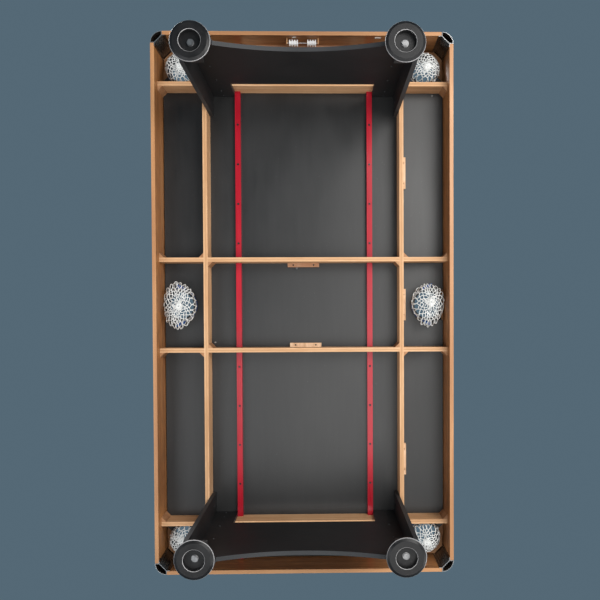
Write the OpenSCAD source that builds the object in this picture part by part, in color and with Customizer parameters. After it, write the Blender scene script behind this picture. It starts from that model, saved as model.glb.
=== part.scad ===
// Home pool table, 7 ft class: sheet-material cabinet with moulded corner posts,
// a braced bed, two arched end frames on levelling feet, six net pockets.
// Millimetres. Origin on the floor, under the middle of the table. +X right,
// +Y towards the back end, +Z up.

/* [Cabinet] */
// Outside width of the cabinet
cab_w = 1190; // [1150:5:1230]
// Outside length of the cabinet
cab_l = 2142; // [2100:2:2200]
// Thickness of the apron boards
board_t = 15; // [15:1:18]
// Height of the aprons' lower edge above the floor
apron_z = 563; // [545:1:580]
// Height of the finished rail top above the floor
table_h = 790; // [785:1:795]
// Outer radius of the corner posts
post_r = 46; // [42:1:48]
// Wall of the corner post profile
post_wall = 2.4; // [2:0.2:3]

/* [Bed] */
// Height of the bed panel's underside above the floor
bed_z = 718; // [714:1:720]
// Thickness of the bed panel
bed_t = 18; // [16:1:18]
// Thickness of the bed cloth
cloth_t = 1.5; // [1:0.5:2]
// Radius of the drop holes in the bed panel
drop_r = 66; // [65:0.5:67]

/* [Bracing] */
// Thickness of every beam under the bed
beam_t = 17; // [16:0.5:18]
// Depth of the beams below the bed
beam_h = 98; // [90:1:100]
// Half of the clear distance between the long beams
long_beam_x = 386; // [380:1:392]
// Middle beams: distance of the inner face from the table's middle
mid_beam_y = 174; // [170:1:180]
// End beams: distance of the inner face from the table's middle
end_beam_y = 876; // [870:1:880]
// Distance of each steel channel from the table's middle
channel_x = 270; // [262:1:278]
// Width of the steel channels
channel_w = 22; // [20:1:24]
// Depth of the steel channels
channel_h = 25; // [22:1:28]

/* [Legs] */
// Thickness of the end frames and leg returns
leg_t = 15; // [14:1:17]
// Height of the legs' lower ends above the floor
leg_z = 52; // [48:1:56]
// Half of the clear width between the legs of an end frame
leg_in_x = 291; // [285:1:295]
// Width of each leg return along the table
return_w = 82; // [76:1:88]
// Height of the arch's ends above the floor
arch_end_z = 134; // [128:1:145]
// Height of the arch's crown above the floor
arch_mid_z = 193; // [186:1:205]
// Height of the upper edge of the end frame's panel
panel_top_z = 550; // [545:1:555]
// Half of the clear width between the end frame's ears
ear_in_x = 282; // [282:1:290]

/* [Levelling feet] */
// Outer radius of a foot disc
disc_r = 65.5; // [60:0.5:68]
// Radius of the recess in a foot disc
recess_r = 35; // [32:0.5:36]
// Depth of the recess in a foot disc
recess_d = 26; // [24:1:28]
// Radius of a levelling screw
stem_r = 6; // [5:0.5:6]

/* [Pockets] */
// Corner pocket centre from the middle, across the table
corner_x = 496; // [494:1:498]
// Corner pocket centre from the middle, along the table
corner_y = 970; // [968:1:972]
// Side pocket centre from the middle, across the table
side_x = 512; // [510:1:513]
// Inner radius of the pocket rings
ring_in_r = 57; // [56:0.5:58]
// Outer radius of the pocket rings
ring_out_r = 61; // [60:0.5:62]
// Height of the pocket rings' lower end above the floor
ring_z = 690; // [686:1:696]
// Height of the net bags' lowest point above the floor
net_z = 590; // [585:1:600]

/* [Rails] */
// Width of the wooden top rails
rail_w = 75; // [73:1:76]
// Thickness of the top rails over the aprons
rail_t = 24; // [22:1:26]
// Width of the cushions
cushion_w = 45; // [42:1:46]
// Height of the cushion nose above the cloth
nose_h = 36; // [34:1:38]

/* [Hidden] */

SIDES = [-1, 1];
WOOD = "#c2946a";
RAW_WOOD = "#d9b48c";
BLACK = "#242424";
BED_BLACK = "#2c2c2e";
STEEL = "#b9bcbf";
RED = "#b5122c";
CLOTH = "#1e5f9e";
WHITE = "#f0f0ee";

half_w = cab_w / 2;
half_l = cab_l / 2;
in_x = half_w - board_t;
in_y = half_l - board_t;
// Centres of the corner posts' rounding, and the ends of the apron boards
post_x = half_w - post_r;
post_y = half_l - post_r;
// Distance of the post's slanted inner wall from its rounding centre, along an axis
post_slant = post_r - board_t - 2.5;
lip_t = 2.3;
lip_l = 12;
apron_top = table_h - rail_t;
bed_gap = 3;
// How much of each side the bed's corner cut takes, and half of the side pockets' notch
bed_cut = 130;
side_notch = 64;
bed_top = bed_z + bed_t;
cloth_top = bed_top + cloth_t;
beam_z = bed_z - beam_h;
lap_z = bed_z - beam_h / 2;
channel_z = bed_z - channel_h;
channel_t = 1.5;
channel_len = 2 * in_y - 4;
notch_gap = 0.5;
// Distances of a foot's centre from the inner faces of its leg
foot_in_x = 28;
foot_in_y = 33;
foot_x = long_beam_x - leg_t - foot_in_x;
foot_y = end_beam_y - leg_t - foot_in_y;
frame_y = end_beam_y - leg_t;
disc_rim_h = 14;
disc_bevel = 10;
disc_edge_h = 7;
disc_lip = 1.4;
fit = 0.3;
run_fit = 0.1;
rail_in_x = half_w - rail_w;
rail_in_y = half_l - rail_w;
nose_x = rail_in_x - cushion_w;
nose_y = rail_in_y - cushion_w;
rail_round = 6;
// Where the top rails stop short of the corner and side castings
corner_arm = 165;
side_arm = 75;
mouth_half = 60;
ring_gap = 1.5;
// Half of the opening a pocket ring leaves towards the table
ring_mouth = ring_in_r - 2;
net_wall = 3;
net_top_z = 703;
net_rings = 10;
// Depth share of the straight neck round the pocket ring
net_neck = 0.14;
net_sides = 24;
knot_r = 12;
cleat_l = 130;
cleat_w = 17;
cleat_hole_r = 3.5;
cleat_hole_gap = 84;
// Positions of the right long beam's cleats along the table, and the middle cleats' offset
side_cleat_y = [-544, 0, 644];
mid_cleat_shift = 4;
batten_l = 500;
batten_w = 40;
batten_h = 45;
gusset = 19;
screw_head_r = 4.5;
screw_shank_r = 2;
screw_gap = 162;
screw_start = 1.57;
short_screw = 12;
long_screw = 26;
// Screws of an end frame, and of the leg returns, by their height above the floor
frame_screw_x = 330;
frame_screw_z = [343, 503, 640, 700];
return_screw_z = [645, 700];
block_h = 60;
counter_z = 601;
counter_y = -in_y + 17;
counter_half = 60;
wire_r = 2;
spool_r = 13.5;
spool_l = 34;
spool_x = 36;

function sign_name(sx, sy) = str(sy < 0 ? "front" : "back", "_", sx < 0 ? "left" : "right");

// Mirrors what is modelled for the back right quarter into another quarter
module quarter(sx, sy) {
    mirror([sx < 0 ? 1 : 0, 0, 0])
        mirror([0, sy < 0 ? 1 : 0, 0])
            children();
}

module block(low, high) {
    translate(low) cube(high - low);
}

// ---- bed ----

// Drop holes; the side ones are open towards the apron
module drop_holes(r) {
    for (sx = SIDES) {
        translate([sx * side_x, 0, bed_z - 1]) cylinder(r = r, h = bed_t + 10, $fn = 96);
        quarter(sx, 1)
            block([side_x, -side_notch, bed_z - 1], [in_x + 1, side_notch, bed_z + bed_t + 9]);
        for (sy = SIDES)
            translate([sx * corner_x, sy * corner_y, bed_z - 1])
                cylinder(r = r, h = bed_t + 10, $fn = 96);
    }
}

// Plan outline of the bed, with its corners cut off past the corner pockets
module bed_outline(inset) {
    x = in_x - inset;
    y = in_y - inset;
    polygon([
        [x, y - bed_cut], [x - bed_cut, y], [-x + bed_cut, y], [-x, y - bed_cut],
        [-x, -y + bed_cut], [-x + bed_cut, -y], [x - bed_cut, -y], [x, -y + bed_cut]
    ]);
}

module bed_panel() {
    color(BED_BLACK)
        difference() {
            translate([0, 0, bed_z]) linear_extrude(bed_t) bed_outline(bed_gap);
            drop_holes(drop_r);
        }
}

module bed_cloth() {
    color(CLOTH)
        difference() {
            translate([0, 0, bed_top]) linear_extrude(cloth_t) bed_outline(bed_gap);
            drop_holes(drop_r);
        }
}

// ---- cabinet ----

module apron_end(sy) {
    color(WOOD)
        quarter(1, sy)
            block([-post_x, in_y, apron_z], [post_x, half_l, apron_top]);
}

module apron_side(sx) {
    color(WOOD)
        quarter(sx, 1)
            block([in_x, -post_y, apron_z], [half_w, post_y, apron_top]);
}

// Cell of the post: a quarter round cut off by the slanted inner wall
module post_cell(r, low, slant) {
    intersection() {
        circle(r = r, $fn = 96);
        polygon([
            [max(low, slant - low), low], [r + 1, low], [r + 1, r + 1], [low, r + 1],
            [low, max(low, slant - low)]
        ]);
    }
}

module post_profile() {
    lip_x = post_r - board_t - lip_t;
    difference() {
        post_cell(post_r, 0, post_slant);
        post_cell(post_r - post_wall, post_wall, post_slant + post_wall * 1.42);
    }
    translate([lip_x, -lip_l]) square([lip_t, lip_l + post_wall]);
    translate([-lip_l, lip_x]) square([lip_l + post_wall, lip_t]);
}

module corner_post(sx, sy) {
    color(BLACK)
        quarter(sx, sy)
            translate([post_x, post_y, apron_z - 2])
                linear_extrude(apron_top - apron_z + 2) post_profile();
}

// ---- rails and cushions ----

// Section of a top rail: from the cushion's back to the apron's outer face
module rail_section(inner, board, outer) {
    polygon([
        [inner, cloth_top], [board - 0.5, cloth_top], [board - 0.5, apron_top],
        [outer, apron_top], [outer, table_h - rail_round],
        [outer - rail_round * 0.3, table_h - rail_round * 0.3],
        [outer - rail_round, table_h], [inner, table_h]
    ]);
}

module top_rail_end(sy) {
    length = 2 * (half_w - corner_arm) - 0.6;
    color(WOOD)
        quarter(1, sy)
            translate([-length / 2, 0, 0])
                rotate([90, 0, 90])
                    linear_extrude(length) rail_section(rail_in_y, in_y, half_l);
}

module top_rail_side(sx) {
    length = 2 * (half_l - corner_arm) - 0.6;
    color(WOOD)
        quarter(sx, 1)
            difference() {
                translate([0, length / 2, 0])
                    rotate([90, 0, 0])
                        linear_extrude(length) rail_section(rail_in_x, in_x, half_w);
                block([rail_in_x - 1, -side_arm - 0.3, cloth_top - 1],
                      [side_x + ring_out_r + ring_gap, side_arm + 0.3, table_h + 1]);
            }
}

// Section of a cushion: flat back on the rail, nose towards the bed
module cushion_section(nose, back) {
    polygon([
        [nose, cloth_top + nose_h - 3], [nose, cloth_top + nose_h + 2],
        [nose + 9, table_h - 9], [back - 8, table_h - 4], [back, table_h - 6],
        [back, cloth_top + 3], [back - 12, cloth_top + 3]
    ]);
}

// Half-plane past a slanted pocket mouth, as a large rotated block
module past_mouth(x, y, angle) {
    translate([x, y, 0]) rotate([0, 0, angle]) block([-200, 0, 700], [200, 200, 800]);
}

module cushion_end(sy) {
    corner = mouth_half * sqrt(2);
    color(CLOTH)
        quarter(1, sy)
            difference() {
                translate([-half_w, 0, 0])
                    rotate([90, 0, 90])
                        linear_extrude(cab_w) cushion_section(nose_y, rail_in_y);
                for (sx = SIDES)
                    mirror([sx < 0 ? 1 : 0, 0, 0])
                        past_mouth(corner_x - corner, corner_y, -135);
            }
}

module cushion_side(sx, sy) {
    corner = mouth_half * sqrt(2);
    color(CLOTH)
        quarter(sx, sy)
            difference() {
                translate([0, half_l, 0])
                    rotate([90, 0, 0])
                        linear_extrude(half_l) cushion_section(nose_x, rail_in_x);
                past_mouth(corner_x, corner_y - corner, 45);
                past_mouth(rail_in_x, ring_out_r + 4, 170);
            }
}

// ---- pockets ----

// Ring that lines a pocket: whole below the bed, open towards the table above it
module pocket_ring(mouth_angle) {
    difference() {
        translate([0, 0, ring_z]) cylinder(r = ring_out_r, h = apron_top - ring_z, $fn = 96);
        translate([0, 0, ring_z - 1]) cylinder(r = ring_in_r, h = 200, $fn = 96);
        rotate([0, 0, mouth_angle])
            block([0, -ring_mouth, cloth_top], [100, ring_mouth, table_h]);
    }
}

// Plan outline of a corner casting: two arms joined by a rounded corner
module corner_outline() {
    square_to([half_w - corner_arm, rail_in_y], [post_x, half_l]);
    square_to([rail_in_x, half_l - corner_arm], [half_w, post_y]);
    translate([post_x, post_y])
        intersection() {
            circle(r = post_r, $fn = 96);
            square(post_r + 1);
        }
}

module square_to(low, high) {
    translate(low) square(high - low);
}

module corner_plate() {
    difference() {
        translate([0, 0, apron_top]) linear_extrude(rail_t) corner_outline();
        translate([corner_x, corner_y, apron_top - 1])
            cylinder(r = ring_in_r, h = 100, $fn = 96);
        translate([corner_x, corner_y, 0])
            rotate([0, 0, 225])
                block([0, -ring_mouth, apron_top - 1], [200, ring_mouth, table_h + 1]);
    }
}

module corner_casting(sx, sy) {
    color(BLACK)
        quarter(sx, sy)
            union() {
                corner_plate();
                translate([corner_x, corner_y, 0]) pocket_ring(225);
            }
}

module side_casting(sx) {
    color(BLACK)
        quarter(sx, 1)
            union() {
                difference() {
                    block([rail_in_x, -side_arm, apron_top],
                          [side_x + ring_out_r + 1, side_arm, table_h]);
                    translate([side_x, 0, apron_top - 1])
                        cylinder(r = ring_in_r, h = 100, $fn = 96);
                }
                translate([side_x, 0, 0]) pocket_ring(180);
            }
}

// Share of the bag's full width at depth t, from 0 at the ring to 1 at the knot
function bag_width(t) = t < 0.5 ? 1 : sqrt(max(0, 1 - pow((t - 0.5) / 0.5, 2)));

// Points of one level of the bag; shift moves the belly away from the ring's centre
function bag_ring(t, grow_x, grow_y, shift, wall) = [
    for (i = [0:net_sides - 1])
        let (
            a = 360 * i / net_sides,
            swell = sin(min(max(t - net_neck, 0) / 0.46, 1) * 90),
            top_r = ring_out_r + 1 + net_wall,
            rx = max(knot_r, (top_r + grow_x * swell) * bag_width(t)) - wall,
            ry = max(knot_r, (top_r + grow_y * swell) * bag_width(t)) - wall
        )
        [rx * cos(a) + shift[0] * swell, ry * sin(a) + shift[1] * swell,
         net_top_z - (net_top_z - net_z - (wall > 0 ? net_wall : 0)) * t]
];

function bag_side(first, flip) = [
    for (j = [0:net_rings - 2], i = [0:net_sides - 1])
        let (
            k = (i + 1) % net_sides,
            a = first + j * net_sides + i,
            b = first + j * net_sides + k,
            c = a + net_sides,
            d = b + net_sides
        )
        flip ? [a, b, d, c] : [a, c, d, b]
];

// Hollow bag, open at the top
module bag(grow_x, grow_y, shift) {
    levels = [
        0,
        for (j = [0:net_rings - 2]) net_neck + (1 - net_neck) * pow(j / (net_rings - 2), 0.8)
    ];
    outer = [for (t = levels) each bag_ring(t, grow_x, grow_y, shift, 0)];
    inner = [for (t = levels) each bag_ring(t, grow_x, grow_y, shift, net_wall)];
    count = net_rings * net_sides;
    rim = [
        for (i = [0:net_sides - 1])
            let (k = (i + 1) % net_sides)
            [i, k, count + k, count + i]
    ];
    last = (net_rings - 1) * net_sides;
    outer_floor = [[for (i = [0:net_sides - 1]) last + net_sides - 1 - i]];
    inner_floor = [[for (i = [0:net_sides - 1]) count + last + i]];
    polyhedron(
        points = concat(outer, inner),
        faces = concat(bag_side(0, false), bag_side(count, true), rim, outer_floor, inner_floor)
    );
}

module corner_net(sx, sy) {
    color(WHITE)
        quarter(sx, sy)
            translate([corner_x, corner_y, 0]) bag(-5, -5, [-2, -15]);
}

module side_net(sx) {
    color(WHITE)
        quarter(sx, 1)
            translate([side_x, 0, 0]) bag(-2, 27, [-6, 0]);
}

// ---- bracing ----

// Slots for the two steel channels in a cross beam
module channel_slots(y) {
    for (sx = SIDES)
        block([sx * channel_x - channel_w / 2 - notch_gap, y - 1, channel_z - notch_gap],
              [sx * channel_x + channel_w / 2 + notch_gap, y + beam_t + 1, bed_z + 1]);
}

module long_beam(sx) {
    color(RAW_WOOD)
        quarter(sx, 1)
            difference() {
                block([long_beam_x, -end_beam_y, beam_z], [long_beam_x + beam_t, end_beam_y, bed_z]);
                for (sy = SIDES)
                    translate([0, sy * (mid_beam_y + beam_t / 2), 0])
                        block([long_beam_x - 1, -beam_t / 2, lap_z],
                              [long_beam_x + beam_t + 1, beam_t / 2, bed_z + 1]);
            }
}

module mid_beam(sy) {
    color(RAW_WOOD)
        quarter(1, sy)
            difference() {
                block([-in_x, mid_beam_y, beam_z], [in_x, mid_beam_y + beam_t, bed_z]);
                channel_slots(mid_beam_y);
                for (sx = SIDES)
                    translate([sx * (long_beam_x + beam_t / 2), 0, 0])
                        block([-beam_t / 2, mid_beam_y - 1, beam_z - 1],
                              [beam_t / 2, mid_beam_y + beam_t + 1, lap_z]);
            }
}

module end_beam(sy) {
    color(RAW_WOOD)
        quarter(1, sy)
            difference() {
                block([-in_x, end_beam_y, beam_z], [in_x, end_beam_y + beam_t, bed_z]);
                channel_slots(end_beam_y);
            }
}

// Positions of the channel screws along the table
channel_screw_y = [for (i = [0:3]) screw_gap * (screw_start + i)];

module channel(sx) {
    color(RED)
        translate([sx * channel_x, 0, 0])
            difference() {
                block([-channel_w / 2, -channel_len / 2, channel_z],
                      [channel_w / 2, channel_len / 2, bed_z]);
                block([-channel_w / 2 + channel_t, -channel_len, channel_z + channel_t],
                      [channel_w / 2 - channel_t, channel_len, bed_z + 1]);
                for (sy = SIDES, y = channel_screw_y)
                    translate([0, sy * y, channel_z - 1])
                        cylinder(r = screw_shank_r + 0.2, h = 4, $fn = 24);
            }
}

// One cleat with its two screw holes, long side along X, in the beam's corner
module cleat() {
    difference() {
        block([-cleat_l / 2, 0, 0], [cleat_l / 2, cleat_w, cleat_w]);
        for (s = SIDES)
            translate([s * cleat_hole_gap / 2, cleat_w / 2, -1])
                cylinder(r = cleat_hole_r, h = cleat_w + 2, $fn = 32);
    }
}

// Cleats on the middle beams and the right long beam, and the batten at the front end
module beam_cleats() {
    color(RAW_WOOD) {
        for (sy = SIDES)
            quarter(1, sy)
                translate([sy * mid_cleat_shift, mid_beam_y, bed_z - cleat_w])
                    rotate([0, 0, 180]) cleat();
        for (y = side_cleat_y)
            translate([long_beam_x + beam_t, y, bed_z - cleat_w])
                rotate([0, 0, -90]) cleat();
        block([-batten_l / 2, -in_y, bed_z - batten_h], [batten_l / 2, -in_y + batten_w, bed_z]);
    }
}

// Upright triangular block in the corner at x, y; sx, sy point into the bay
module gusset_at(x, y, sx, sy) {
    translate([x, y, beam_z])
        linear_extrude(beam_h)
            polygon([[0, 0], [sx * gusset, 0], [0, sy * gusset]]);
}

// Three fillers under a corner casting, between the aprons and the pocket ring
module corner_fillers() {
    near = ring_out_r + ring_gap;
    far = half_l - corner_arm;
    side = half_w - corner_arm;
    inner = corner_x + corner_y + near * sqrt(2) + 2;
    outer = post_x + post_y + post_slant - 4;
    gap = 0.3;
    // The outermost filler keeps clear of the post's lips
    wall_x = in_x - lip_t - gap;
    wall_y = in_y - lip_t - gap;
    translate([0, 0, cloth_top + 1])
        linear_extrude(apron_top - cloth_top - 1) {
            polygon([
                [wall_x, inner - wall_x], [wall_x, outer - wall_x],
                [outer - wall_y, wall_y], [inner - wall_y, wall_y]
            ]);
            polygon([
                [corner_x + near, far], [in_x, far], [in_x, inner - in_x - gap],
                [corner_x + near, inner - corner_x - near - gap]
            ]);
            polygon([
                [side, corner_y + near], [side, in_y], [inner - in_y - gap, in_y],
                [inner - corner_y - near - gap, corner_y + near]
            ]);
        }
}

module gusset_blocks() {
    color(RAW_WOOD) {
        for (sx = SIDES, sy = SIDES)
            quarter(sx, sy) corner_fillers();
        for (sx = SIDES, sy = SIDES) {
            gusset_at(sx * in_x, sy * (mid_beam_y + beam_t), -sx, sy);
            gusset_at(sx * (long_beam_x + beam_t), sy * (mid_beam_y + beam_t), sx, sy);
            gusset_at(sx * long_beam_x, sy * mid_beam_y, -sx, -sy);
            gusset_at(sx * in_x, sy * end_beam_y, -sx, -sy);
        }
    }
}

// Round-head screw, head towards -Z, its seat at z = 0
module screw(length) {
    translate([0, 0, -2]) cylinder(r1 = screw_head_r - 1, r2 = screw_head_r, h = 2, $fn = 32);
    cylinder(r = screw_shank_r, h = length, $fn = 24);
}

// Screws of the channels, the end frames and the leg returns
module frame_screws() {
    color(STEEL) {
        for (sx = SIDES, sy = SIDES, y = channel_screw_y)
            translate([sx * channel_x, sy * y, channel_z]) screw(channel_h + 12);
        for (sx = SIDES, sy = SIDES) {
            for (z = frame_screw_z)
                quarter(sx, sy)
                    translate([frame_screw_x, frame_y, z])
                        rotate([-90, 0, 0]) screw(z < beam_z ? short_screw : long_screw);
            for (z = return_screw_z)
                quarter(sx, sy)
                    translate([long_beam_x - leg_t, frame_y - return_w / 2, z])
                        rotate([0, 90, 0]) screw(long_screw);
        }
    }
}

// ---- legs ----

// Front view of an end frame: two legs, the arched panel and two ears
module end_frame_outline() {
    rise = arch_mid_z - arch_end_z;
    arch_r = (leg_in_x * leg_in_x + rise * rise) / (2 * rise);
    difference() {
        translate([-long_beam_x, leg_z]) square([2 * long_beam_x, bed_z - leg_z]);
        translate([-ear_in_x, panel_top_z]) square([2 * ear_in_x, bed_z]);
        translate([-leg_in_x, leg_z - 1]) square([2 * leg_in_x, arch_end_z - leg_z + 1]);
        intersection() {
            translate([0, arch_mid_z - arch_r]) circle(r = arch_r, $fn = 180);
            translate([-leg_in_x, 0]) square([2 * leg_in_x, arch_mid_z + 1]);
        }
    }
}

module end_frame(sy) {
    color(BLACK)
        quarter(1, sy)
            translate([0, end_beam_y, 0])
                rotate([90, 0, 0])
                    linear_extrude(leg_t) end_frame_outline();
}

// Side wall of each leg, with its lower inner corner rounded
module leg_returns() {
    corner_r = 16;
    color(BLACK)
        for (sx = SIDES, sy = SIDES)
            quarter(sx, sy)
                translate([long_beam_x - leg_t, 0, 0])
                    rotate([90, 0, 90])
                        linear_extrude(leg_t)
                            union() {
                                translate([frame_y - return_w, leg_z + corner_r])
                                    square([return_w, bed_z - leg_z - corner_r]);
                                translate([frame_y - return_w + corner_r, leg_z])
                                    square([return_w - corner_r, corner_r + 1]);
                                translate([frame_y - return_w + corner_r, leg_z + corner_r])
                                    circle(r = corner_r, $fn = 64);
                            }
}

module leg_blocks() {
    color(BLACK)
        for (sx = SIDES, sy = SIDES)
            quarter(sx, sy)
                difference() {
                    block([foot_x - foot_in_x, foot_y - foot_in_y, leg_z],
                          [long_beam_x - leg_t, frame_y, leg_z + block_h]);
                    translate([foot_x, foot_y, leg_z - 1])
                        cylinder(r = stem_r + 3, h = block_h + 2, $fn = 48);
                }
}

// Threaded bush and flange in each leg block
module leg_inserts() {
    color(STEEL)
        for (sx = SIDES, sy = SIDES)
            quarter(sx, sy)
                translate([foot_x, foot_y, leg_z])
                    difference() {
                        union() {
                            translate([0, 0, -1.5]) cylinder(r = 14, h = 1.5, $fn = 48);
                            cylinder(r = stem_r + 3, h = 30, $fn = 48);
                        }
                        translate([0, 0, -5])
                            cylinder(r = stem_r + run_fit, h = 60, $fn = 48);
                    }
}

// Levelling screw: flanged hexagon head in the disc's recess, shank into the leg
module foot_screw(sx, sy) {
    head_h = 7.5;
    color(STEEL)
        translate([sx * foot_x, sy * foot_y, 0]) {
            translate([0, 0, recess_d - head_h]) cylinder(r = 11, h = head_h - 2, $fn = 6);
            translate([0, 0, recess_d - 2]) cylinder(r = 12, h = 2 - 0.1, $fn = 48);
            translate([0, 0, recess_d - 0.2])
                cylinder(r = stem_r, h = leg_z + block_h - recess_d - 8, $fn = 48);
        }
}

// Levelling foot: bevelled disc with a round recess and a hub under the leg
module foot_disc(sx, sy) {
    hub_r = 17;
    color(BLACK)
        translate([sx * foot_x, sy * foot_y, 0])
            rotate_extrude($fn = 128)
                polygon([
                    [recess_r, disc_lip], [recess_r + disc_lip, 0],
                    [disc_r - disc_bevel, 0], [disc_r - disc_lip, disc_edge_h - disc_lip],
                    [disc_r, disc_edge_h + disc_lip], [disc_r, disc_rim_h],
                    [disc_r - 4, disc_rim_h + 4], [recess_r + 6, recess_d + 5],
                    [hub_r + 4, recess_d + 9], [hub_r, recess_d + 13],
                    [hub_r, leg_z - 2], [stem_r + run_fit, leg_z - 2],
                    [stem_r + run_fit, recess_d], [recess_r, recess_d]
                ]);
}

// ---- wire counter on the front apron ----

// Straight wire whose bent ends stand in two small wooden-coloured lugs
module counter_wire() {
    color("#b98a5e")
        translate([0, counter_y, counter_z]) {
            translate([-counter_half, 0, 0])
                rotate([0, 90, 0]) cylinder(r = wire_r, h = 2 * counter_half, $fn = 24);
            for (s = SIDES)
                block([s * (counter_half + 2) - 2, -in_y - counter_y, -5],
                      [s * (counter_half + 2) + 2, 5, 5]);
        }
}

// Ribbed spool: four flanges on a hub, bored for the wire
module counter_spool(sx) {
    flange_t = 4;
    color(WHITE)
        translate([sx * spool_x, counter_y, counter_z])
            rotate([0, 90, 0])
                difference() {
                    union() {
                        translate([0, 0, -spool_l / 2]) cylinder(r = 8, h = spool_l, $fn = 48);
                        for (i = [0:3])
                            translate([0, 0, -spool_l / 2 + i * (spool_l - flange_t) / 3])
                                cylinder(r = spool_r, h = flange_t, $fn = 64);
                    }
                    translate([0, 0, -spool_l]) cylinder(r = wire_r + fit, h = 2 * spool_l, $fn = 24);
                }
}

// ---- nodes ----

bed_panel();
bed_cloth();
apron_end(-1);  // apron_front
apron_end(1);  // apron_back
apron_side(-1);  // apron_left
apron_side(1);  // apron_right
for (sx = SIDES, sy = SIDES) {
    corner_post(sx, sy);
    corner_casting(sx, sy);
    corner_net(sx, sy);
    cushion_side(sx, sy);
    foot_screw(sx, sy);
    foot_disc(sx, sy);
}
for (sx = SIDES) {
    side = sx < 0 ? "left" : "right";
    side_casting(sx);
    side_net(sx);
    top_rail_side(sx);
    long_beam(sx);
    channel(sx);
    counter_spool(sx);
}
for (sy = SIDES) {
    end = sy < 0 ? "front" : "back";
    top_rail_end(sy);
    cushion_end(sy);
    mid_beam(sy);
    end_beam(sy);
    end_frame(sy);
}
beam_cleats();
gusset_blocks();
frame_screws();
leg_returns();
leg_blocks();
leg_inserts();
counter_wire();
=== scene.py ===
import math
import random

import bmesh
import bpy
import numpy as np
from mathutils import Matrix, Vector, noise
from mathutils.geometry import delaunay_2d_cdt


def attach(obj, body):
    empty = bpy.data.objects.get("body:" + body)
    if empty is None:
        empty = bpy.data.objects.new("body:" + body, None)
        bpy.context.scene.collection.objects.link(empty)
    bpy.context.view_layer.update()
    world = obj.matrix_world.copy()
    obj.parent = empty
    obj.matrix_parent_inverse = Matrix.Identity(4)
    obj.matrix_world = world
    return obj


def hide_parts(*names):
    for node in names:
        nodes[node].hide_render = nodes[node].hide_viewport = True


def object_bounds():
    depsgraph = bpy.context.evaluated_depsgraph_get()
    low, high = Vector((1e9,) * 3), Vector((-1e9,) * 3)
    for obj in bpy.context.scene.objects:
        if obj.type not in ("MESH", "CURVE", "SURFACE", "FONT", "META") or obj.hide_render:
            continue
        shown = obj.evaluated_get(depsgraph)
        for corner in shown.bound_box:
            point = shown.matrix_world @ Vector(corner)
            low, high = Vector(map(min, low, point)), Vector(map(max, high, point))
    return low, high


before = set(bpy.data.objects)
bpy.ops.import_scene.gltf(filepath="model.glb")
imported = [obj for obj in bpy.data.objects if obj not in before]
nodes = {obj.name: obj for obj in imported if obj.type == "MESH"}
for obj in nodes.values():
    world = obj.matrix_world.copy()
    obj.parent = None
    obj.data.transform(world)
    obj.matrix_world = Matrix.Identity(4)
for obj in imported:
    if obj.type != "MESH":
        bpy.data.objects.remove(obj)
cad_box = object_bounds()
SIDES = (-1, 1)


# ---- materials: a small set of node helpers ----


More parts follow.
